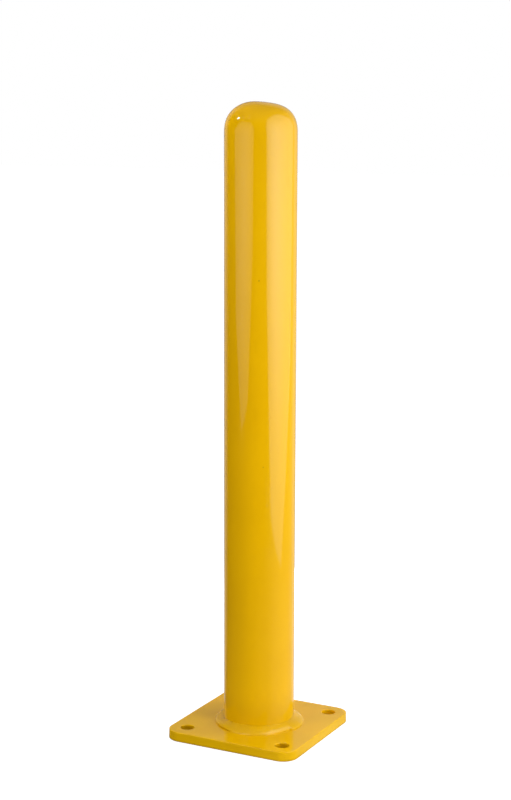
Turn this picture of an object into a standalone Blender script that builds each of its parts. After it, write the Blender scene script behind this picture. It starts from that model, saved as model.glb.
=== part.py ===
"""A steel safety bollard: a round post with a domed end, welded upright on a square bolt-down base plate.

It is five pieces: the base plate, the post tube, the pressed domed cap, the butt weld that joins the cap to
the tube, and the fillet weld round the post's foot. All of them are fixed, so there is no joint.

Metres, +Z up. The origin is the centre of the plate's underside, and X and Y run along the plate's sides.
"""

import math

import bmesh
import bpy
from mathutils import Matrix, Vector

# Driving dimensions.
POST_DIAMETER = 0.1143
POST_WALL = 0.0060
TOTAL_HEIGHT = 1.0160
PLATE_SIDE = 0.2286
PLATE_THICKNESS = 0.0159
PLATE_CORNER_RADIUS = 0.0254
PLATE_EDGE_ROUNDING = 0.0012
ANCHOR_SPACING = 0.1715
ANCHOR_HOLE_DIAMETER = 0.0222
VENT_HOLE_DIAMETER = 0.0300
HOLE_CHAMFER = 0.0008

# The domed cap is a flattened dome on a short straight skirt. Its crown leans a little to one side.
DOME_DEPTH = 0.0485
DOME_POWER = 2.46
CAP_SKIRT = 0.0120
CROWN_LEAN = 0.071
CROWN_LEAN_SPREAD = 3.2
CROWN_LEAN_BEARING = math.radians(27)

# The butt weld fills a V groove between the bevelled ends of tube and cap, and is ground flush outside.
ROOT_GAP = 0.0030
GROOVE_LAND = 0.0015
GROOVE_ANGLE = math.radians(30)
ROOT_BEAD_HEIGHT = 0.0015

# The fillet weld's legs, along the plate and up the post, and how full its face is (1 would be flat).
FILLET_LEG_OUT = 0.0140
FILLET_LEG_UP = 0.0110
FILLET_FULLNESS = 1.35
FILLET_TOE = 0.0006

# Neighbouring pieces keep this gap, where the real ones are fused.
FIT_GAP = 0.0003

# How finely round shapes are divided.
ROUND_STEPS = 72
DOME_STEPS = 11
FILLET_STEPS = 9
CORNER_STEPS = 10
HOLE_STEPS = 32

# Safety yellow powder coat, linear RGB.
YELLOW = (0.83, 0.42, 0.005, 1.0)
COAT_ROUGHNESS = 0.18

POST_RADIUS = POST_DIAMETER / 2
BORE_RADIUS = POST_RADIUS - POST_WALL
DOME_BASE_Z = TOTAL_HEIGHT - DOME_DEPTH
SEAM_Z = DOME_BASE_Z - CAP_SKIRT


def clear_scene():
    for obj in list(bpy.data.objects):
        bpy.data.objects.remove(obj)


def new_collection(name):
    collection = bpy.data.collections.new(name)
    bpy.context.scene.collection.children.link(collection)
    return collection


def powder_coat(name):
    """One material for each piece, all of the same gloss yellow coat."""
    material = bpy.data.materials.new(name)
    material.use_nodes = True
    shader = material.node_tree.nodes["Principled BSDF"]
    shader.inputs["Base Color"].default_value = YELLOW
    shader.inputs["Roughness"].default_value = COAT_ROUGHNESS
    shader.inputs["Metallic"].default_value = 0.0
    shader.inputs["Coat Weight"].default_value = 0.5
    return material


def add_object(name, mesh, collection):
    obj = bpy.data.objects.new(name, mesh)
    collection.objects.link(obj)
    return obj


def finish_piece(obj):
    """Gives a piece its coat and smooth shading with crisp edges."""
    obj.data.materials.append(powder_coat(obj.name + "_coat"))
    obj.data.shade_smooth()
    obj.data.set_sharp_from_angle(angle=math.radians(30))


def turned(name, profile, collection):
    """A solid turned round Z from a closed outline of (radius, z), listed down its outer side first."""
    count = len(profile)
    closed_on_axis = profile[0][0] == 0 and profile[-1][0] == 0
    edges = [(i, i + 1) for i in range(count - 1)]
    if not closed_on_axis:
        edges.append((count - 1, 0))
    mesh = bpy.data.meshes.new(name)
    mesh.from_pydata([(radius, 0, z) for radius, z in profile], edges, [])
    obj = add_object(name, mesh, collection)
    screw = obj.modifiers.new("turn", "SCREW")
    screw.axis = "Z"
    screw.angle = math.tau
    screw.steps = ROUND_STEPS
    screw.render_steps = ROUND_STEPS
    screw.use_merge_vertices = True
    screw.merge_threshold = 0.00001
    return obj


def applied(obj):
    """Replaces the object's mesh by its evaluated one, and drops its modifiers."""
    graph = bpy.context.evaluated_depsgraph_get()
    mesh = bpy.data.meshes.new_from_object(obj.evaluated_get(graph))
    obj.modifiers.clear()
    obj.data = mesh
    return obj


def groove_half_width(radius):
    """Half the height of the V groove at this distance from the axis."""
    depth = max(0.0, radius - BORE_RADIUS - GROOVE_LAND)
    return ROOT_GAP / 2 + depth * math.tan(GROOVE_ANGLE)


def dome_curve(radius, depth, steps):
    """(radius, z) down a flattened dome, from its crown on the axis to its widest circle at DOME_BASE_Z."""
    points = []
    for i in range(steps + 1):
        angle = math.pi / 2 * (1 - i / steps)
        r = radius * math.cos(angle) ** (2 / DOME_POWER) if i else 0.0
        points.append((r, DOME_BASE_Z + depth * math.sin(angle) ** (2 / DOME_POWER)))
    return points


def crown_lift(x, y):
    """How much higher or lower the crown stands here, because it leans."""
    share = min(1.0, math.hypot(x, y) / POST_RADIUS)
    along = x * math.cos(CROWN_LEAN_BEARING) + y * math.sin(CROWN_LEAN_BEARING)
    return -CROWN_LEAN * along * (1 - share**2) ** CROWN_LEAN_SPREAD


def hole_cutter(name, diameter, x, y, collection):
    """A cutter for a plain hole through the plate with a small chamfer at both faces."""
    over = 0.002
    radius = diameter / 2
    wide = radius + HOLE_CHAMFER
    top = PLATE_THICKNESS
    profile = [
        (0.0, top + over),
        (wide + over, top + over),
        (wide, top),
        (radius, top - HOLE_CHAMFER),
        (radius, HOLE_CHAMFER),
        (wide, 0.0),
        (wide + over, -over),
        (0.0, -over),
    ]
    cutter = turned(name, profile, collection)
    cutter.modifiers["turn"].steps = HOLE_STEPS
    cutter.modifiers["turn"].render_steps = HOLE_STEPS
    cutter.location = (x, y, 0)
    cutter.hide_render = True
    cutter.display_type = "WIRE"
    return cutter


def base_plate(collection, cutters):
    """The square plate with rounded corners, its four anchor holes and the vent hole under the post."""
    bm = bmesh.new()
    bmesh.ops.create_cube(bm, size=1.0)
    size = (PLATE_SIDE, PLATE_SIDE, PLATE_THICKNESS)
    bmesh.ops.transform(bm, matrix=Matrix.Diagonal((*size, 1)), verts=bm.verts)
    bmesh.ops.translate(bm, vec=Vector((0, 0, PLATE_THICKNESS / 2)), verts=bm.verts)
    upright = [e for e in bm.edges if abs(e.verts[0].co.z - e.verts[1].co.z) > PLATE_THICKNESS / 2]
    bmesh.ops.bevel(
        bm, geom=upright, offset=PLATE_CORNER_RADIUS, segments=CORNER_STEPS, profile=0.5, affect="EDGES"
    )
    rims = [e for f in bm.faces if len(f.verts) > 4 for e in f.edges]
    bmesh.ops.bevel(
        bm, geom=rims, offset=PLATE_EDGE_ROUNDING, segments=2, profile=0.5, affect="EDGES"
    )
    mesh = bpy.data.meshes.new("base_plate")
    bm.to_mesh(mesh)
    bm.free()
    plate = add_object("base_plate", mesh, collection)

    half = ANCHOR_SPACING / 2
    holes = [(ANCHOR_HOLE_DIAMETER, x, y) for x in (-half, half) for y in (-half, half)]
    holes.append((VENT_HOLE_DIAMETER, 0.0, 0.0))
    for i, (diameter, x, y) in enumerate(holes):
        cut = plate.modifiers.new(f"hole_{i}", "BOOLEAN")
        cut.operation = "DIFFERENCE"
        cut.object = hole_cutter(f"hole_cutter_{i}", diameter, x, y, cutters)
    return plate


def post_tube(collection):
    """The pipe, square-cut at its foot and bevelled at its top for the butt weld."""
    foot_z = PLATE_THICKNESS + FIT_GAP
    land_radius = BORE_RADIUS + GROOVE_LAND
    profile = [
        (POST_RADIUS, SEAM_Z - groove_half_width(POST_RADIUS)),
        (POST_RADIUS, foot_z),
        (BORE_RADIUS, foot_z),
        (BORE_RADIUS, SEAM_Z - groove_half_width(BORE_RADIUS)),
        (land_radius, SEAM_Z - groove_half_width(land_radius)),
    ]
    return turned("post_tube", profile, collection)


def domed_cap(collection):
    """The pressed cap: a shell of the tube's own wall, bevelled at its lower edge."""
    land_radius = BORE_RADIUS + GROOVE_LAND
    outer = dome_curve(POST_RADIUS, DOME_DEPTH, DOME_STEPS)
    inner = dome_curve(BORE_RADIUS, DOME_DEPTH - POST_WALL, DOME_STEPS)
    rim = [(r, SEAM_Z + groove_half_width(r)) for r in (POST_RADIUS, land_radius, BORE_RADIUS)]
    cap = applied(turned("domed_cap", outer + rim + inner[::-1], collection))
    for vertex in cap.data.vertices:
        if vertex.co.z > DOME_BASE_Z:
            vertex.co.z += crown_lift(vertex.co.x, vertex.co.y)
    return cap


def cap_weld(collection):
    """The butt weld between tube and cap: flush outside, with a low root bead in the bore."""
    gap = FIT_GAP / math.cos(GROOVE_ANGLE)
    root_radius = BORE_RADIUS - ROOT_BEAD_HEIGHT
    walls = [
        (POST_RADIUS, groove_half_width(POST_RADIUS) - gap),
        (BORE_RADIUS + GROOVE_LAND, ROOT_GAP / 2 - gap),
        (root_radius + ROOT_BEAD_HEIGHT / 3, ROOT_GAP / 2 - gap),
        (root_radius, ROOT_GAP / 5),
    ]
    upper = [(radius, SEAM_Z + half) for radius, half in walls]
    lower = [(radius, SEAM_Z - half) for radius, half in walls]
    return turned("cap_weld", upper[:1] + lower + upper[:0:-1], collection)


def base_weld(collection):
    """The fillet weld in the corner between post and plate, with a rounded face."""
    inner = POST_RADIUS + FIT_GAP
    bottom = PLATE_THICKNESS + FIT_GAP
    face = []
    for i in range(FILLET_STEPS + 1):
        angle = math.pi / 2 * (1 - i / FILLET_STEPS)
        out = FILLET_LEG_OUT * math.cos(angle) ** (2 / FILLET_FULLNESS) if i else FILLET_TOE
        up = FILLET_LEG_UP * math.sin(angle) ** (2 / FILLET_FULLNESS)
        face.append((inner + out, bottom + max(up, FILLET_TOE)))
    profile = face + [(inner + FILLET_LEG_OUT, bottom), (inner, bottom), (inner, face[0][1])]
    return turned("base_weld", profile, collection)


def main():
    clear_scene()
    pieces = new_collection("steel_safety_bollard")
    cutters = new_collection("cutters")
    finish_piece(base_plate(pieces, cutters))
    for build in (post_tube, domed_cap, cap_weld, base_weld):
        finish_piece(build(pieces))


main()
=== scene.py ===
import math

import bmesh
import bpy
import numpy as np
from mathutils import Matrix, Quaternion, Vector, geometry, noise


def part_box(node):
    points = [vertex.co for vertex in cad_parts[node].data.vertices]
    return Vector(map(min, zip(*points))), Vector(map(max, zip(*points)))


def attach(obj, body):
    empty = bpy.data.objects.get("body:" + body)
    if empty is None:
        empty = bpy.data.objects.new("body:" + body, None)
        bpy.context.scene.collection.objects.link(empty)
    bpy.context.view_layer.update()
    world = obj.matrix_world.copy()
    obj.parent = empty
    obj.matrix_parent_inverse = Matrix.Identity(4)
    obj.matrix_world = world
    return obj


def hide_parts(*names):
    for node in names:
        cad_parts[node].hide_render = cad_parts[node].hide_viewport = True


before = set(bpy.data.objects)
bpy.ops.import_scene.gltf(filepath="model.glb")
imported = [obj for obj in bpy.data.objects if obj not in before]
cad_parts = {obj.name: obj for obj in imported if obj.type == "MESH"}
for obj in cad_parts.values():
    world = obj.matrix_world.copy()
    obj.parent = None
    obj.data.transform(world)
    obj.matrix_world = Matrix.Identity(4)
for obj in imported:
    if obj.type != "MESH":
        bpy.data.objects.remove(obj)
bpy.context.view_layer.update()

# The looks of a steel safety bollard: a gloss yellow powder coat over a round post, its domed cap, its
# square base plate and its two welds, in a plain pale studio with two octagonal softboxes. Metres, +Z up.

# Sizes read from the frame. FIT_GAP is the air that the CAD leaves between two neighbours.
PLATE_LOW, PLATE_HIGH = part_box("base_plate")
TUBE_LOW, TUBE_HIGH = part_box("post_tube")
SEAM_LOW, SEAM_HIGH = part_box("cap_weld")
CAP_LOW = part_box("domed_cap")[0]
WELD_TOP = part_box("base_weld")[1].z
PLATE_SIDE = PLATE_HIGH.x - PLATE_LOW.x
PLATE_TOP = PLATE_HIGH.z
POST_RADIUS = TUBE_HIGH.x
FIT_GAP = TUBE_LOW.z - PLATE_TOP
SEAM_Z = (SEAM_LOW.z + SEAM_HIGH.z) / 2
SEAM_HALF = (SEAM_HIGH.z - SEAM_LOW.z) / 2 + FIT_GAP

# Sizes that a box can't give. The crown's top slopes down by CROWN_LEAN towards CROWN_LEAN_ANGLE, which
# is measured about Z from +X. The greater CROWN_LEAN_POWER is, the sooner the slope fades from the axis.
POST_WALL = 0.0060
BORE_RADIUS = POST_RADIUS - POST_WALL
PLATE_CORNER_RADIUS = 0.0254
ANCHOR_SPACING = 0.1715
ANCHOR_HOLE_DIAMETER = 0.0222
VENT_HOLE_DIAMETER = 0.0300
CROWN_Z = 1.0160
DOME_DEPTH = 0.0485
DOME_BASE_Z = CROWN_Z - DOME_DEPTH
DOME_POWER = 2.46
CROWN_LEAN = 0.071
CROWN_LEAN_POWER = 3.2
CROWN_LEAN_ANGLE = math.radians(27)

# How far drawn pipe and rolled plate are from true, and how often that changes in a metre: on the post
# across it and along it, on the plate both ways alike.
POST_WAVER = 0.00005
POST_WAVER_PACE = (9, 5)
PLATE_WAVER = 0.00006
PLATE_WAVER_PACE = 14

# The weld round the foot. Bearings are in degrees from the camera's side of the post, positive to its
# right. A run of the bead ends at WELD_STOP_BEARING, and the toe laps over the plate round LAP_BEARING.
WELD_LEG_OUT = 0.0143
WELD_LEG_UP = 0.0108
WELD_INTO_POST = 0.0002
WELD_INTO_PLATE = 0.0001
WELD_ROOT_INTO_POST = 0.0012
WELD_ROOT_INTO_PLATE = 0.0006
WELD_RIPPLES = 118
RIPPLE_HEIGHT = 0.00009
RIPPLE_DRIFT = 1.4
RIPPLE_BOW = 2.2
WELD_FACE_WANDER = 0.00035
WELD_STOP_BEARING = 49
WELD_STOP_STEP = 0.0044
LAP_BEARING = -73
LAP_HALF_WIDTH = 32
LAP_LEAST = 0.0002
LAP_GROWTH = 0.0018
LAP_UNDERCUT = 1.4

# How finely the meshes are cut, and the angle from which an edge is shaded sharp.
AROUND = 256
WELD_AROUND = 720
WELD_FACE_STEPS = 30
WELD_TOE_STEPS = 4
CORNER_STEPS = 16
SIDE_STEPS = 48
HOLE_STEPS = 64
EDGE_ROUND_STEPS = 6
SHARP_ANGLE = math.radians(40)

# The camera stands on this bearing from the front (-Y), turned towards +X.
CAMERA_BEARING = math.radians(27.31)
CAMERA_DISTANCE = 2.7174
CAMERA_HEIGHT = 1.0176
CAMERA_DOWN = math.radians(9.80)
CAMERA_ASIDE = math.radians(0.15)
CAMERA_ROLL = math.radians(0.175)
CAMERA_LENS = 78.06


def camera_side(bearing):
    """The level direction at this bearing in radians from the camera's side of the post, positive to the
    camera's right."""
    angle = CAMERA_BEARING + bearing
    return Vector((math.sin(angle), -math.cos(angle), 0))


def beside_post(bearing, away, height):
    """A place at this bearing in degrees from the camera's side of the post."""
    return camera_side(math.radians(bearing)) * away + Vector((0, 0, height))


def on_post(height, angle):
    """A point on the post's surface at this height and angle about Z in degrees."""
    turn = math.radians(angle)
    return POST_RADIUS * math.cos(turn), POST_RADIUS * math.sin(turn), height


# ---------------------------------------------------------------- meshes


def add_object(name, data):
    """A new object in the scene."""
    made = bpy.data.objects.new(name, data)
    bpy.context.scene.collection.objects.link(made)
    return made


def add_piece(name, mesh, material, node):
    """A finished piece, which stands for one CAD node."""
    mesh.materials.append(material)
    mesh.shade_smooth()
    mesh.set_sharp_from_angle(angle=SHARP_ANGLE)
    piece = add_object(name, mesh)
    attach(piece, "root")
    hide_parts(node)


def mesh_from(bm, name):
    """The mesh that a bmesh holds. The bmesh is freed."""
    mesh = bpy.data.meshes.new(name)
    bm.to_mesh(mesh)
    bm.free()
    return mesh


def solid_mesh(name, points, faces, join=None):
    """A closed mesh whose faces look outward. Points closer than join become one."""
    mesh = bpy.data.meshes.new(name)
    mesh.from_pydata([tuple(p) for p in points], [], faces)
    mesh.validate()
    bm = bmesh.new()
    bm.from_mesh(mesh)
    if join:
        bmesh.ops.remove_doubles(bm, verts=bm.verts, dist=join)
    bmesh.ops.recalc_face_normals(bm, faces=bm.faces)
    bm.to_mesh(mesh)
    bm.free()
    return mesh


def turned(name, profile, shift):
    """A closed solid turned round Z from an outline of (radius, z) that runs down its outer side and up its
    inner side. shift(x, y, z) gives a point's new place."""
    turn = np.arange(AROUND) * math.tau / AROUND
    radius, z = np.array(profile).T
    levels = np.outer(z, np.ones(AROUND))
    grid = np.stack([np.outer(radius, np.cos(turn)), np.outer(radius, np.sin(turn)), levels], axis=-1)
    points = [shift(*point) for point in grid.reshape(-1, 3)]
    faces = []
    for i in range(len(profile)):
        j = (i + 1) % len(profile)
        if radius[i] == 0 and radius[j] == 0:
            continue
        for k in range(AROUND):
            m = (k + 1) % AROUND
            faces.append((i * AROUND + k, j * AROUND + k, j * AROUND + m, i * AROUND + m))
    return solid_mesh(name, points, faces, join=1e-7)


# ---------------------------------------------------------------- post, cap and the weld between them


def post_waver(x, y, z):
    """Drawn pipe isn't quite round or straight: its outside wavers a little, and its bore is left true."""
    radius = math.hypot(x, y)
    if radius < BORE_RADIUS + 0.001:
        return x, y, z
    across, along = POST_WAVER_PACE
    drift = noise.noise(Vector((x * across, y * across, z * along)))
    grow = 1 + POST_WAVER * drift / radius
    return x * grow, y * grow, z


def straight(start, end, steps):
    """Even (radius, z) points from start to end."""
    (r0, z0), (r1, z1) = start, end
    return [(r0 + (r1 - r0) * i / steps, z0 + (z1 - z0) * i / steps) for i in range(steps + 1)]


def tube_mesh():
    outer = straight((POST_RADIUS, SEAM_Z - SEAM_HALF), (POST_RADIUS, TUBE_LOW.z), steps=230)
    inner = straight((BORE_RADIUS, TUBE_LOW.z), (BORE_RADIUS, TUBE_HIGH.z), steps=40)
    return turned("tube", outer + inner, post_waver)


def dome_curve(radius, depth, steps):
    """(radius, z) down a flattened dome, from its crown on the axis to its widest circle."""
    points = []
    for i in range(steps + 1):
        angle = math.pi / 2 * (1 - i / steps)
        r = radius * math.cos(angle) ** (2 / DOME_POWER) if i else 0.0
        points.append((r, DOME_BASE_Z + depth * math.sin(angle) ** (2 / DOME_POWER)))
    return points


def leaning_crown(x, y, z):
    """The pressed crown leans a little to one side."""
    x, y, z = post_waver(x, y, z)
    if z > DOME_BASE_Z:
        share = min(1.0, math.hypot(x, y) / POST_RADIUS)
        along = x * math.cos(CROWN_LEAN_ANGLE) + y * math.sin(CROWN_LEAN_ANGLE)
        z -= CROWN_LEAN * along * (1 - share**2) ** CROWN_LEAN_POWER
    return x, y, z


def cap_mesh():
    outer = dome_curve(POST_RADIUS, DOME_DEPTH, steps=72)
    skirt = straight((POST_RADIUS, DOME_BASE_Z), (POST_RADIUS, SEAM_Z + SEAM_HALF), steps=4)[1:]
    inner = dome_curve(BORE_RADIUS, DOME_DEPTH - POST_WALL, steps=36)[::-1]
    return turned("cap", outer + skirt + [(BORE_RADIUS, CAP_LOW.z)] + inner, leaning_crown)


def cap_weld_mesh():
    """The butt weld, ground flush, so that the coat runs over it without a step. Its root stands a little
    proud inside the bore."""
    root_half, root_height = 0.001, 0.0014
    outer = straight((POST_RADIUS, SEAM_Z + SEAM_HALF), (POST_RADIUS, SEAM_Z - SEAM_HALF), steps=6)
    root = [
        (BORE_RADIUS, SEAM_Z - root_half),
        (BORE_RADIUS - root_height, SEAM_Z),
        (BORE_RADIUS, SEAM_Z + root_half),
    ]
    return turned("cap_weld", outer + root, post_waver)


# ---------------------------------------------------------------- base weld


def wander(turn, height, pace, seed):
    """A smooth random number from -height to height that comes back to itself after a full turn."""
    return height * noise.noise(Vector((math.cos(turn) * pace, math.sin(turn) * pace, seed)))


def past_bearing(side, bearing):
    """How far side is past a bearing in degrees, from minus half a turn to half a turn."""
    return (side - math.radians(bearing) + math.pi) % math.tau - math.pi


def bump(side, height, bearing, width):
    """A smooth bump of this height round one bearing. width is in degrees."""
    return height * math.exp(-((past_bearing(side, bearing) / math.radians(width)) ** 2))


def weld_stop(side):
    """Where one run of the bead ends on the start of the next: 0 before it, 1 just past it, then fading."""
    run_in, rise, fade = 4, 5, 55
    past = math.degrees(past_bearing(side, WELD_STOP_BEARING))
    if past < -run_in:
        return 0.0
    step = min(1.0, (past + run_in) / rise)
    return step * step * (3 - 2 * step) * math.exp(-max(0.0, past) / fade)


def weld_lap(side):
    """How high the toe stands where it laps over the plate without joining it."""
    off = math.degrees(past_bearing(side, LAP_BEARING)) / LAP_HALF_WIDTH
    return LAP_LEAST + LAP_GROWTH * (1 / (1 + off**8))


def weld_legs(side, turn):
    """How far the bead reaches out over the plate, and up the post. It is wide at the front, narrow to the
    right of that, and low at the left."""
    leg_out = WELD_LEG_OUT + bump(side, height=0.0030, bearing=-18, width=30)
    leg_out -= bump(side, height=0.0026, bearing=41, width=17)
    broad = wander(turn, height=0.0005, pace=4, seed=3.1)
    leg_out += broad + wander(turn, height=0.00025, pace=9, seed=7.7)
    leg_up = WELD_LEG_UP + wander(turn, height=0.0006, pace=2.2, seed=11.3)
    leg_up += wander(turn, height=0.0003, pace=7, seed=5.9)
    leg_up -= bump(side, height=0.0035, bearing=-88, width=24)
    return leg_out, leg_up


def weld_hollowness(side):
    """How hollow the bead's face is near the post, and near its toe: 1 is full, 2 is flat."""
    near_post = 1.3 + bump(side, height=0.9, bearing=60, width=50)
    near_post += bump(side, height=0.5, bearing=-30, width=34)
    near_toe = 0.9 + bump(side, height=0.75, bearing=-26, width=36)
    near_toe += bump(side, height=0.3, bearing=105, width=40)
    return near_post, near_toe


def weld_section(side, turn):
    """(radius, z) down the bead's face at one bearing, from the post to the plate, and round under its
    toe. side is measured from the camera's side, and turn from +X."""
    leg_out, leg_up = weld_legs(side, turn)
    near_post, near_toe = weld_hollowness(side)
    stop = WELD_STOP_STEP * weld_stop(side)
    lap = weld_lap(side)
    ripple = turn * WELD_RIPPLES + wander(turn, height=RIPPLE_DRIFT, pace=6, seed=17.0)
    face_radius = POST_RADIUS - WELD_INTO_POST
    face_z = PLATE_TOP - WELD_INTO_PLATE
    section = []
    for i in range(WELD_FACE_STEPS + 1):
        share = i / WELD_FACE_STEPS
        angle = math.pi / 2 * (1 - share)
        belly = math.sin(math.pi * share) ** 0.8 if 0 < i < WELD_FACE_STEPS else 0.0
        swell = RIPPLE_HEIGHT * belly * math.sin(ripple - RIPPLE_BOW * math.sin(math.pi * share))
        swell += wander(turn, height=WELD_FACE_WANDER * belly, pace=7, seed=20 + 1.5 * share)
        out = leg_out * math.cos(angle) ** near_post + stop * math.cos(angle) ** 5
        out += swell * math.cos(angle)
        up = lap + (leg_up - lap) * math.sin(angle) ** near_toe + swell * math.sin(angle)
        section.append((face_radius + out, face_z + up))
    toe = section[-1][0]
    undercut = LAP_UNDERCUT * lap
    for i in range(1, WELD_TOE_STEPS + 1):
        angle = math.pi / 2 * i / WELD_TOE_STEPS
        section.append((toe - undercut * (1 - math.cos(angle)), face_z + lap * (1 - math.sin(angle))))
    section.append((POST_RADIUS - WELD_ROOT_INTO_POST, PLATE_TOP - WELD_ROOT_INTO_PLATE))
    return section


def base_weld_mesh():
    """The hand-laid fillet bead round the foot: its legs wander, and its face is rippled."""
    front = camera_side(0)
    front_turn = math.atan2(front.y, front.x)
    points = []
    for k in range(WELD_AROUND):
        turn = math.tau * k / WELD_AROUND
        section = weld_section(turn - front_turn, turn)
        points.extend((radius * math.cos(turn), radius * math.sin(turn), z) for radius, z in section)
    rows = len(section)
    faces = []
    for k in range(WELD_AROUND):
        m = (k + 1) % WELD_AROUND
        for i in range(rows):
            j = (i + 1) % rows
            faces.append((k * rows + i, k * rows + j, m * rows + j, m * rows + i))
    return solid_mesh("base_weld", points, faces)


# ---------------------------------------------------------------- base plate


def plate_outline():
    """Points and outward normals round the square with rounded corners."""
    inner = PLATE_SIDE / 2 - PLATE_CORNER_RADIUS
    points, normals = [], []
    corners = [(1, 1), (-1, 1), (-1, -1), (1, -1)]
    for quarter, (corner_x, corner_y) in enumerate(corners):
        for i in range(CORNER_STEPS + 1):
            angle = math.pi / 2 * (quarter + i / CORNER_STEPS)
            normal = Vector((math.cos(angle), math.sin(angle)))
            points.append(Vector((corner_x * inner, corner_y * inner)) + normal * PLATE_CORNER_RADIUS)
            normals.append(normal)
        next_x, next_y = corners[(quarter + 1) % 4]
        start = points[-1]
        end = Vector((next_x * inner, next_y * inner)) + normal * PLATE_CORNER_RADIUS
        for i in range(1, SIDE_STEPS):
            points.append(start.lerp(end, i / SIDE_STEPS))
            normals.append(normal)
    return points, normals


def hole_outline(x, y, radius):
    """Points round a hole, and normals that point out of the material, into the hole."""
    points, normals = [], []
    for i in range(HOLE_STEPS):
        angle = -math.tau * i / HOLE_STEPS
        way = Vector((math.cos(angle), math.sin(angle)))
        points.append(Vector((x, y)) + way * radius)
        normals.append(-way)
    return points, normals


def edge_profile(top_round, bottom_round, flare=0.0):
    """(offset along the normal, z) down an edge, from the top face to the bottom face. A sheared edge is
    upright for its first stretch and flares out below it."""
    upright_share = 0.4
    quarter = [math.pi / 2 * i / EDGE_ROUND_STEPS for i in range(EDGE_ROUND_STEPS + 1)]
    shoulder = PLATE_TOP - top_round
    down = [(-top_round + top_round * math.sin(a), shoulder + top_round * math.cos(a)) for a in quarter]
    wall = PLATE_TOP - top_round - bottom_round
    for share in (0.2, 0.38, 0.42, 0.6, 0.8):
        down.append((flare * max(0.0, share - upright_share), shoulder - share * wall))
    foot = flare * (1 - upright_share) - bottom_round
    for a in quarter:
        down.append((foot + bottom_round * math.cos(a), bottom_round - bottom_round * math.sin(a)))
    return down


def in_plate(point):
    """Whether a point is inside the plate's rounded square, clear of its rim."""
    rim = 0.002
    inner = PLATE_SIDE / 2 - PLATE_CORNER_RADIUS
    past_x = max(abs(point.x) - inner, 0)
    past_y = max(abs(point.y) - inner, 0)
    return math.hypot(past_x, past_y) < PLATE_CORNER_RADIUS - rim


def in_hole(point, holes, share=1.0):
    """Whether a point is inside this share of a hole's radius."""
    return any((point - centre).length < radius * share for centre, radius in holes)


def even_points(rim_points, holes, spacing):
    """Even points all over the plate but not in its holes. Their rows are row_rise of spacing apart, and
    they keep rim_share of it away from the points of the rims."""
    row_rise, rim_share = 0.866, 0.6
    fixed = np.array([tuple(point) for point in rim_points])
    rows = int(PLATE_SIDE / spacing)
    points = []
    for i in range(-rows, rows + 1):
        for j in range(-rows, rows + 1):
            point = Vector(((i + 0.5 * (j % 2)) * spacing, j * spacing * row_rise))
            if not in_plate(point) or in_hole(point, holes):
                continue
            if np.hypot(*(fixed - np.array(point)).T).min() > spacing * rim_share:
                points.append(point)
    return points


def fill_face(bm, loops, spacing):
    """Fills the first loop, less the holes inside the other loops, with even triangles."""
    z = loops[0][0].co.z
    known = [vertex for loop in loops for vertex in loop]
    flat = [vertex.co.xy for vertex in known]
    edges = []
    for loop in loops:
        base = len(edges)
        edges.extend((base + i, base + (i + 1) % len(loop)) for i in range(len(loop)))
    holes = []
    for loop in loops[1:]:
        centre = sum((vertex.co.xy for vertex in loop), Vector((0, 0))) / len(loop)
        holes.append((centre, (loop[0].co.xy - centre).length))
    flat += even_points(flat, holes, spacing)
    points, _, triangles, origins, _, _ = geometry.delaunay_2d_cdt(flat, edges, [], 0, 1e-7)
    verts = []
    for point, sources in zip(points, origins):
        source = sources[0]
        verts.append(known[source] if source < len(known) else bm.verts.new((*point, z)))
    for triangle in triangles:
        centre = sum((points[i] for i in triangle), Vector((0, 0))) / 3
        if not in_hole(centre, holes, share=0.999):
            bm.faces.new([verts[i] for i in triangle])


def plate_outlines():
    """The outlines of the plate and of its holes, each with the profile of its edge."""
    half = ANCHOR_SPACING / 2
    anchor_edge = edge_profile(top_round=0.0010, bottom_round=0.0006)
    vent_edge = edge_profile(top_round=0.0008, bottom_round=0.0006)
    outlines = [(plate_outline(), edge_profile(top_round=0.0013, bottom_round=0.0015, flare=0.0004))]
    for x in (-half, half):
        for y in (-half, half):
            outlines.append((hole_outline(x, y, ANCHOR_HOLE_DIAMETER / 2), anchor_edge))
    outlines.append((hole_outline(0, 0, VENT_HOLE_DIAMETER / 2), vent_edge))
    return outlines


def base_plate_mesh():
    bm = bmesh.new()
    top_rims, bottom_rims = [], []
    for (points, normals), profile in plate_outlines():
        rings = []
        for offset, z in profile:
            rings.append([bm.verts.new((*(p + n * offset), z)) for p, n in zip(points, normals)])
        for upper, lower in zip(rings, rings[1:]):
            for i in range(len(points)):
                j = (i + 1) % len(points)
                bm.faces.new((upper[i], lower[i], lower[j], upper[j]))
        top_rims.append(rings[0])
        bottom_rims.append(rings[-1])
    fill_face(bm, top_rims, spacing=0.005)
    fill_face(bm, bottom_rims, spacing=0.008)
    bmesh.ops.recalc_face_normals(bm, faces=bm.faces)
    for vertex in bm.verts:
        if vertex.co.z > PLATE_TOP / 2:
            place = Vector((vertex.co.x * PLATE_WAVER_PACE, vertex.co.y * PLATE_WAVER_PACE, 2.0))
            vertex.co.z += PLATE_WAVER * noise.noise(place)
    return mesh_from(bm, "base_plate")


# ---------------------------------------------------------------- materials


YELLOW = (0.80, 0.432, 0.0015, 1)
# Painted light: a lighter, greener yellow near the floor that stands in for light bounced up off it.
BOUNCE_LIT_YELLOW = (0.80, 0.455, 0.0015, 1)
DEEP_YELLOW = (0.74, 0.385, 0.001, 1)
# Painted shade: a darker yellow laid into creases, hole walls, the plate's lower rim, the post's foot and a
# shadow patch on the plate.
SHADE_YELLOW = (0.62, 0.345, 0.001, 1)
NIB = (0.42, 0.22, 0.01, 1)
BARE_STEEL = (0.16, 0.15, 0.145, 1)
MILL_SCALE = (0.30, 0.24, 0.19, 1)

# How metallic bare steel looks, and how much rougher it is than the coat.
STEEL_METALLIC = 0.7
STEEL_ROUGHER = 0.4

# The least and the most roughness of the coat.
SMOOTH_COAT = (0.035, 0.065)
WELD_COAT = (0.17, 0.20)
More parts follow.
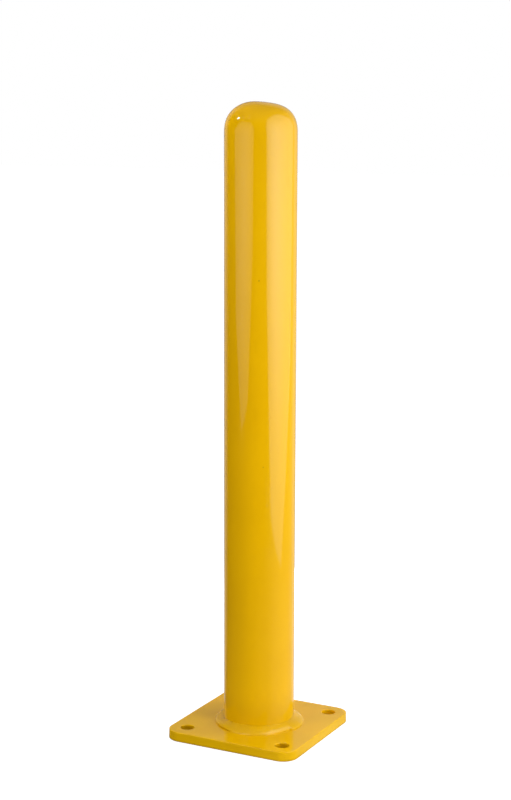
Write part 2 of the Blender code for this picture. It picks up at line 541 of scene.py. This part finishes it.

# Where the coat has a flaw, and the flaw's radius: two specks on the post. The tan patch on the plate, with
# its radius, is a painted shadow of the post, left of its foot.
TUBE_FLAWS = ((on_post(height=0.744, angle=-64.9), 0.0018), (on_post(height=0.451, angle=-57.3), 0.0013))
POST_SHADOW_PATCH = (beside_post(bearing=-122, away=0.085, height=PLATE_TOP), 0.055)


class Nodes:
    """Short calls for building a material's nodes."""

    def __init__(self, tree):
        self.tree = tree

    def add(self, kind, inputs=None, **settings):
        node = self.tree.nodes.new(kind)
        for key, value in settings.items():
            setattr(node, key, value)
        for key, value in (inputs or {}).items():
            if isinstance(value, bpy.types.NodeSocket):
                self.tree.links.new(value, node.inputs[key])
            else:
                node.inputs[key].default_value = value
        return node

    def math(self, operation, a, b=0.0):
        return self.add("ShaderNodeMath", {0: a, 1: b}, operation=operation).outputs[0]

    def vector(self, operation, *inputs, output="Value"):
        made = self.add("ShaderNodeVectorMath", dict(enumerate(inputs)), operation=operation)
        return made.outputs[output]

    def place(self, output="Object"):
        """Where a point of the surface is. In a world, "Generated" is the direction of a ray."""
        return self.add("ShaderNodeTexCoord").outputs[output]

    def height(self, place):
        return self.add("ShaderNodeSeparateXYZ", {0: place}).outputs["Z"]

    def noise(self, vector, scale, detail):
        made = self.add("ShaderNodeTexNoise", {"Vector": vector, "Scale": scale, "Detail": detail})
        return made.outputs["Fac"]

    def ramp(self, value, low, high, to_low=0.0, to_high=1.0):
        """to_low up to low, to_high from high on, and a smooth step between them."""
        inputs = {"Value": value, "From Min": low, "From Max": high, "To Min": to_low, "To Max": to_high}
        return self.add("ShaderNodeMapRange", inputs, interpolation_type="SMOOTHSTEP").outputs[0]

    def mix(self, factor, a, b):
        """a where factor is 0, and b where it is 1. The node's inputs 6 and 7 are its two colours."""
        made = self.add("ShaderNodeMix", {"Factor": factor, 6: a, 7: b}, data_type="RGBA")
        return made.outputs[2]


def radius_from_axis(n, place):
    level = n.vector("MULTIPLY", place, (1, 1, 0), output="Vector")
    return n.vector("LENGTH", level)


def nibs(n, place):
    """Specks of dust caught in the coat: a few cells of a random pattern each hold one. 1 on a speck."""
    cells = n.add("ShaderNodeTexVoronoi", {"Vector": place, "Scale": 70.0})
    chosen = n.add("ShaderNodeSeparateColor", {0: cells.outputs["Color"]}).outputs[0]
    speck = n.ramp(cells.outputs["Distance"], 0.012, 0.03, 1.0, 0.0)
    return n.math("MULTIPLY", speck, n.math("GREATER_THAN", chosen, 0.86))


def round_spot(n, place, spot, radius):
    """1 inside one round spot centred on spot, used for the coat's flaws and for the painted shadow patch
    on the plate.
    """
    away = n.vector("DISTANCE", place, spot)
    return n.ramp(away, radius * 0.4, radius, 1.0, 0.0)


def coat_colour(n, place, specks, painted_shade):
    """Yellow with faint clouds in the pigment, lighter and greener towards the foot as painted light
    bounced up off the floor, darker where painted shade is laid on, and dark dust specks.
    """
    # Painted light: lighter and greener towards the foot, for light bounced up off the floor.
    yellow = n.mix(n.ramp(n.height(place), 0.02, 0.14), BOUNCE_LIT_YELLOW, YELLOW)
    clouds = n.ramp(n.noise(place, scale=9.0, detail=3.0), 0.35, 0.75, 0.0, 0.5)
    colour = n.mix(clouds, yellow, DEEP_YELLOW)
    if painted_shade:
        # Painted shade: the darker yellow goes where the shade function puts it.
        colour = n.mix(painted_shade(n, place), colour, SHADE_YELLOW)
    return n.mix(n.math("MULTIPLY", specks, 0.7), colour, NIB)


def coat_roughness(n, place, gloss):
    """Between the two roughnesses of gloss, and a little duller in patches where it was handled."""
    even = n.ramp(n.noise(place, scale=40.0, detail=2.0), 0.3, 0.7, *gloss)
    handled = n.ramp(n.noise(place, scale=7.0, detail=4.0), 0.55, 0.75, 0.0, 0.03)
    return n.math("ADD", even, handled)


def coat_normal(n, place, specks):
    """Orange peel, a finer grain, and the dust specks standing proud."""
    peel = n.noise(place, scale=420.0, detail=1.0)
    grain = n.math("MULTIPLY", n.noise(place, scale=1500.0, detail=1.0), 0.12)
    relief = n.math("ADD", n.math("ADD", peel, grain), n.math("MULTIPLY", specks, 2.5))
    made = n.add("ShaderNodeBump", {"Height": relief, "Distance": 0.00002, "Strength": 0.6})
    return made.outputs["Normal"]


def steel_colour(n, place):
    """Bare steel, mottled with brown mill scale."""
    return n.mix(n.noise(place, scale=160.0, detail=5.0), BARE_STEEL, MILL_SCALE)


def powder_coat(name, painted_shade=None, bare=None, flaws=(), gloss=SMOOTH_COAT):
    """Gloss safety yellow over steel. The function given for painted shade says where the yellow is
    darkened to stand in for shade, bare(n, place) where there is no coat, flaws where its small flaws are,
    and gloss its least and its most roughness."""
    material = bpy.data.materials.new(name)
    material.use_nodes = True
    tree = material.node_tree
    n = Nodes(tree)
    shader = tree.nodes["Principled BSDF"]
    place = n.place()
    specks = nibs(n, place)
    for spot, radius in flaws:
        specks = n.math("MAXIMUM", specks, round_spot(n, place, spot, radius))
    colour = coat_colour(n, place, specks, painted_shade)
    rough = coat_roughness(n, place, gloss)
    if bare:
        steel = bare(n, place)
        colour = n.mix(steel, colour, steel_colour(n, place))
        rough = n.math("ADD", rough, n.math("MULTIPLY", steel, STEEL_ROUGHER))
        tree.links.new(n.math("MULTIPLY", steel, STEEL_METALLIC), shader.inputs["Metallic"])
    tree.links.new(colour, shader.inputs["Base Color"])
    tree.links.new(rough, shader.inputs["Roughness"])
    tree.links.new(coat_normal(n, place, specks), shader.inputs["Normal"])
    shader.inputs["IOR"].default_value = 1.5
    return material


def inside_bore(n, place):
    """The post was coated from outside, so its bore shows mill scale with some overspray."""
    ragged = n.math("MULTIPLY", n.noise(place, scale=90.0, detail=4.0), 0.0016)
    edge = n.math("ADD", radius_from_axis(n, place), ragged)
    return n.ramp(edge, BORE_RADIUS + 0.0008, BORE_RADIUS + 0.0016, 1.0, 0.0)


def inside_cap(n, place):
    """Mill scale again: the cap's inner face lies inside a dome through the middle of its wall."""
    middle_radius = POST_RADIUS - POST_WALL / 2
    middle_depth = DOME_DEPTH - POST_WALL / 2
    above = n.math("MAXIMUM", n.math("SUBTRACT", n.height(place), DOME_BASE_Z), 0.0)
    across = n.math("POWER", n.math("DIVIDE", radius_from_axis(n, place), middle_radius), DOME_POWER)
    rise = n.math("POWER", n.math("DIVIDE", above, middle_depth), DOME_POWER)
    return n.ramp(n.math("ADD", across, rise), 0.98, 1.02, 1.0, 0.0)


def scuffed_foot(n, place):
    """The plate's lower rim and underside are scuffed to the steel in places where it was set down."""
    low = n.ramp(n.height(place), 0.0, 0.0009, 1.0, 0.0)
    patches = n.ramp(n.noise(place, scale=60.0, detail=5.0), 0.56, 0.64)
    return n.math("MULTIPLY", low, patches)


def painted_plate_shade(n, place):
    """Painted shade: the yellow is darker at each hole's edge and down its wall, most of all deep in the
    hole, and along the plate's lower rim. A painted shadow of the post lies on one patch of the top too,
    left of the post's foot."""
    hole = (ANCHOR_SPACING / 2, ANCHOR_SPACING / 2, 0)
    hole_radius = ANCHOR_HOLE_DIAMETER / 2
    height = n.height(place)
    folded = n.vector("ABSOLUTE", place, output="Vector")
    level = n.vector("MULTIPLY", folded, (1, 1, 0), output="Vector")
    rim = n.ramp(n.vector("DISTANCE", level, hole), hole_radius, hole_radius + 0.0008, 0.45, 0.0)
    holes = n.math("MULTIPLY", rim, n.ramp(height, PLATE_TOP - 0.004, PLATE_TOP, 1.0, 0.6))
    # Painted shade down the hole walls and along the plate's lower rim.
    hole_and_rim_shade = n.math("MAXIMUM", holes, n.ramp(height, 0.0014, 0.0042, 1.0, 0.0))
    # Painted shadow: the post's shadow laid on the plate as a darker patch.
    post_shadow = n.math("MULTIPLY", round_spot(n, place, *POST_SHADOW_PATCH), 0.65)
    return n.math("MAXIMUM", hole_and_rim_shade, post_shadow)


def painted_weld_shade(n, place):
    """Painted shade: the whole bead is darker, and darker still in its creases along the post and the
    plate.
    """
    at_post = n.ramp(radius_from_axis(n, place), POST_RADIUS, POST_RADIUS + 0.0022, 0.25, 0.0)
    at_plate = n.ramp(n.height(place), PLATE_TOP, PLATE_TOP + 0.0016, 0.35, 0.0)
    return n.math("ADD", n.math("ADD", at_post, at_plate), 0.60)


def painted_foot_shade(n, place):
    """Painted shade: the post darkens towards the weld at its foot."""
    return n.ramp(n.height(place), WELD_TOP - 0.002, WELD_TOP + 0.060, 0.75, 0.0)


# ---------------------------------------------------------------- studio


WHITE_LIGHT = (1, 1, 1)
COOL_LIGHT = (0.955, 1, 0.96)
SOFTBOX_TINT = (0.85, 1, 0.95)

# The middles of the two softboxes.
LEFT_BOX = Vector((-0.293, -0.783, 0.836))
RIGHT_BOX = Vector((0.689, -0.197, 0.86))

# The broad lamps: bearing in degrees from the camera's side, distance from the post, height, size, power
# in watts, and colour.
FILL_LAMPS = {
    "left_low_fill": (-60, 3.0, 0.4, 1.2, 32, WHITE_LIGHT),
    "left_high_fill": (-60, 1.2, 2.2, 0.8, 13.3, WHITE_LIGHT),
    "front_fill": (30, 1.3, 0.05, 0.5, 13, WHITE_LIGHT),
    "right_fill": (100, 2.0, 1.0, 0.5, 17.5, COOL_LIGHT),
    "left_back_fill": (-120, 2.0, 0.5, 0.6, 10.5, WHITE_LIGHT),
    "right_back_fill": (160, 1.0, 0.05, 0.5, 20.5, COOL_LIGHT),
    "left_top_fill": (-110, 0.36, 1.2, 0.2, 0.45, WHITE_LIGHT),
    "top_back_fill": (180, 1.2, 2.6, 0.8, 7.8, WHITE_LIGHT),
}

# The floor that the camera sees lies just under the plate, and the floor that the coat sees under that.
FLOOR_Z = -0.0004
BOUNCE_FLOOR_Z = -0.0014
FLOOR_HALF = 20


def emitter(name, strength, edge_share, colour):
    """A softbox's front: it shines one way, and is brightest in its middle."""
    material = bpy.data.materials.new(name)
    material.use_nodes = True
    tree = material.node_tree
    tree.nodes.clear()
    n = Nodes(tree)
    glow = n.ramp(n.vector("LENGTH", n.place()), 0.0, 1.0, strength, strength * edge_share)
    light = n.add("ShaderNodeEmission", {"Color": (*colour, 1), "Strength": glow})
    dark = n.add("ShaderNodeEmission", {"Color": (0, 0, 0, 1), "Strength": 0.0})
    back = n.add("ShaderNodeNewGeometry").outputs["Backfacing"]
    both = n.add("ShaderNodeMixShader", {0: back, 1: light.outputs[0], 2: dark.outputs[0]})
    n.add("ShaderNodeOutputMaterial", {"Surface": both.outputs[0]})
    return material


def softbox(name, centre, towards, half_width, turn, strength, edge_share=0.5, colour=WHITE_LIGHT):
    """A flat octagon that shines along towards. It is seen only in reflections."""
    bm = bmesh.new()
    bmesh.ops.create_circle(bm, cap_ends=True, segments=8, radius=1 / math.cos(math.pi / 8))
    mesh = mesh_from(bm, name)
    mesh.materials.append(emitter(name + "_glow", strength, edge_share, colour))
    box = add_object(name, mesh)
    box.rotation_mode = "QUATERNION"
    box.rotation_quaternion = towards.to_track_quat("Z", "Y") @ Quaternion((0, 0, 1), turn)
    box.location = centre
    box.scale = (half_width, half_width, 1)
    box.visible_camera = False
    box.visible_diffuse = False
    box.visible_shadow = False


def sideways(n, way):
    """How far a level direction points away from the camera, and how far to the camera's right."""
    back = n.vector("DOT_PRODUCT", way, tuple(-camera_side(0)))
    aside = n.vector("DOT_PRODUCT", way, tuple(camera_side(math.pi / 2)))
    return back, aside


def backdrop_glow(n, back, aside):
    """The pale backdrop hangs behind the post. Its right half is lit more than its left half, its left end
    catches some light, and a bright flag stands at its right end."""
    halves = n.ramp(aside, -0.05, 0.05, 0.27, 0.42)
    left_end = n.ramp(aside, -0.5, -0.25, 0.25, 0.0)
    sheet = n.math("MULTIPLY", n.ramp(back, 0.50, 0.85), n.math("ADD", halves, left_end))
    flag = n.math("MULTIPLY", n.ramp(aside, 0.45, 0.80), n.ramp(back, 0.25, 0.75, 0.22, 0.45))
    return n.math("ADD", sheet, flag)


def studio_world():
    """White to the camera; to everything else a dim room with a pale backdrop behind the post."""
    world = bpy.data.worlds.new("studio")
    bpy.context.scene.world = world
    world.use_nodes = True
    tree = world.node_tree
    tree.nodes.clear()
    n = Nodes(tree)
    way = n.place("Generated")
    up = n.height(way)
    ceiling = n.ramp(up, 0.35, 0.9, 0.0, 0.15)
    backdrop = n.math("MULTIPLY", backdrop_glow(n, *sideways(n, way)), n.ramp(up, 0.58, 0.9, 1.0, 0.0))
    total = n.math("ADD", backdrop, ceiling)
    camera_ray = n.add("ShaderNodeLightPath").outputs["Is Camera Ray"]
    room = n.add("ShaderNodeBackground", {"Color": (1, 1, 1, 1), "Strength": total})
    seen = n.add("ShaderNodeBackground", {"Color": (1, 1, 1, 1), "Strength": 1.0})
    both = n.add("ShaderNodeMixShader", {0: camera_ray, 1: room.outputs[0], 2: seen.outputs[0]})
    n.add("ShaderNodeOutputWorld", {"Surface": both.outputs[0]})


def floor_material(name, albedo, glow):
    """A dull floor that shines a little by itself. glow(n, place) says how much."""
    material = bpy.data.materials.new(name)
    material.use_nodes = True
    tree = material.node_tree
    shader = tree.nodes["Principled BSDF"]
    shader.inputs["Base Color"].default_value = (albedo, albedo, albedo, 1)
    shader.inputs["Roughness"].default_value = 0.9
    shader.inputs["Specular IOR Level"].default_value = 0.0
    shader.inputs["Emission Color"].default_value = (1, 1, 1, 1)
    n = Nodes(tree)
    tree.links.new(glow(n, n.place()), shader.inputs["Emission Strength"])
    return material


def pale_glow(n, place):
    """Near white beside the post, where its contact shadow falls, and white further off."""
    return n.ramp(n.vector("LENGTH", place), 0.15, 0.7, 0.8, 1.0)


def bounce_glow(n, place):
    """The floor that the gloss reflects is lit round the post, most of all on its right, and carries on
    the backdrop. Close to the post it throws some light up at the coat too."""
    away = n.vector("LENGTH", place)
    back, aside = sideways(n, n.vector("NORMALIZE", place, output="Vector"))
    pool = n.math("MULTIPLY", n.ramp(away, 0.5, 1.4, 1.0, 0.0), n.ramp(aside, -0.5, 0.9, 0.02, 0.17))
    spill = n.math("MULTIPLY", n.ramp(away, 0.2, 0.5, 1.0, 0.0), n.ramp(aside, -0.5, 0.8, 0.10, 0.30))
    spill = n.math("MULTIPLY", spill, n.add("ShaderNodeLightPath").outputs["Is Diffuse Ray"])
    return n.math("ADD", backdrop_glow(n, back, aside), n.math("ADD", pool, spill))


def floor_plane(name, z, material):
    bm = bmesh.new()
    bmesh.ops.create_grid(bm, x_segments=1, y_segments=1, size=FLOOR_HALF)
    mesh = mesh_from(bm, name)
    mesh.materials.append(material)
    plane = add_object(name, mesh)
    plane.location.z = z
    return plane


def floors():
    """The floor that the camera sees, and the floor that the coat sees."""
    pale_material = floor_material("pale_floor", albedo=0.5, glow=pale_glow)
    pale = floor_plane("floor", FLOOR_Z, pale_material)
    pale.visible_glossy = False
    pale.visible_diffuse = False
    bounce_material = floor_material("bounce_floor", albedo=0.03, glow=bounce_glow)
    bounce = floor_plane("floor_bounce", BOUNCE_FLOOR_Z, bounce_material)
    bounce.visible_camera = False


def softboxes():
    """The two that make the pale bands on the post."""
    softbox(
        "left_softbox",
        centre=LEFT_BOX,
        towards=Vector((0.643, 0.689, -0.335)),
        half_width=0.514,
        turn=math.radians(16.4),
        strength=1.25,
    )
    softbox(
        "right_softbox",
        centre=RIGHT_BOX,
        towards=Vector((-0.925, -0.306, -0.225)),
        half_width=0.778,
        turn=math.radians(25.4),
        strength=3.55,
        edge_share=0.38,
        colour=SOFTBOX_TINT,
    )


def area_lamp(name, place, aim, size, power):
    data = bpy.data.lights.new(name, "AREA")
    data.shape = "DISK"
    data.size = size
    data.energy = power
    lamp = add_object(name, data)
    lamp.location = place
    lamp.rotation_mode = "QUATERNION"
    lamp.rotation_quaternion = (aim - lamp.location).to_track_quat("-Z", "Y")
    lamp.visible_camera = False
    return lamp


def soft_lamp(name, place, size, power, colour):
    """A broad lamp that lights the coat but leaves no reflection in its gloss."""
    lamp = area_lamp(name, place, Vector((0, 0, CROWN_Z / 2)), size, power)
    lamp.data.color = colour
    lamp.visible_glossy = False


def small_lamp():
    """A small lamp with a narrow beam, which only leaves a glint on the crown."""
    away, rise = 1.5, math.radians(33)
    height = CROWN_Z + away * math.sin(rise)
    place = beside_post(bearing=-91, away=away * math.cos(rise), height=height)
    lamp = area_lamp("small_lamp", place, Vector((0, 0, CROWN_Z - 0.02)), size=0.16, power=0.055)
    lamp.data.spread = math.radians(30)
    lamp.visible_diffuse = False


def studio():
    studio_world()
    floors()
    softboxes()
    soft_lamp("right_key", RIGHT_BOX, size=1.5, power=6.8, colour=COOL_LIGHT)
    for name, (bearing, away, height, size, power, colour) in FILL_LAMPS.items():
        soft_lamp(name, beside_post(bearing, away, height), size, power, colour)
    small_lamp()


def photo_camera():
    data = bpy.data.cameras.new("camera")
    data.sensor_width = 36
    data.lens = CAMERA_LENS
    data.clip_end = 100
    camera = add_object("camera", data)
    bpy.context.scene.camera = camera
    camera.location = camera_side(0) * CAMERA_DISTANCE + Vector((0, 0, CAMERA_HEIGHT))
    level = -camera_side(0)
    level.rotate(Quaternion((0, 0, 1), CAMERA_ASIDE))
    ahead = level * math.cos(CAMERA_DOWN) - Vector((0, 0, math.sin(CAMERA_DOWN)))
    camera.rotation_mode = "QUATERNION"
    camera.rotation_quaternion = ahead.to_track_quat("-Z", "Y") @ Quaternion((0, 0, 1), CAMERA_ROLL)


def bollard():
    plate_coat = powder_coat("plate_coat", painted_shade=painted_plate_shade, bare=scuffed_foot)
    tube_coat = powder_coat("tube_coat", painted_shade=painted_foot_shade, bare=inside_bore, flaws=TUBE_FLAWS)
    cap_coat = powder_coat("cap_coat", bare=inside_cap)
    cap_weld_coat = powder_coat("cap_weld_coat", bare=inside_bore)
    base_weld_coat = powder_coat("base_weld_coat", painted_shade=painted_weld_shade, gloss=WELD_COAT)
    add_piece("coated_plate", base_plate_mesh(), plate_coat, "base_plate")
    add_piece("coated_tube", tube_mesh(), tube_coat, "post_tube")
    add_piece("coated_cap", cap_mesh(), cap_coat, "domed_cap")
    add_piece("coated_cap_weld", cap_weld_mesh(), cap_weld_coat, "cap_weld")
    add_piece("coated_base_weld", base_weld_mesh(), base_weld_coat, "base_weld")


bpy.context.scene.view_settings.view_transform = "Standard"
bollard()
studio()
photo_camera()
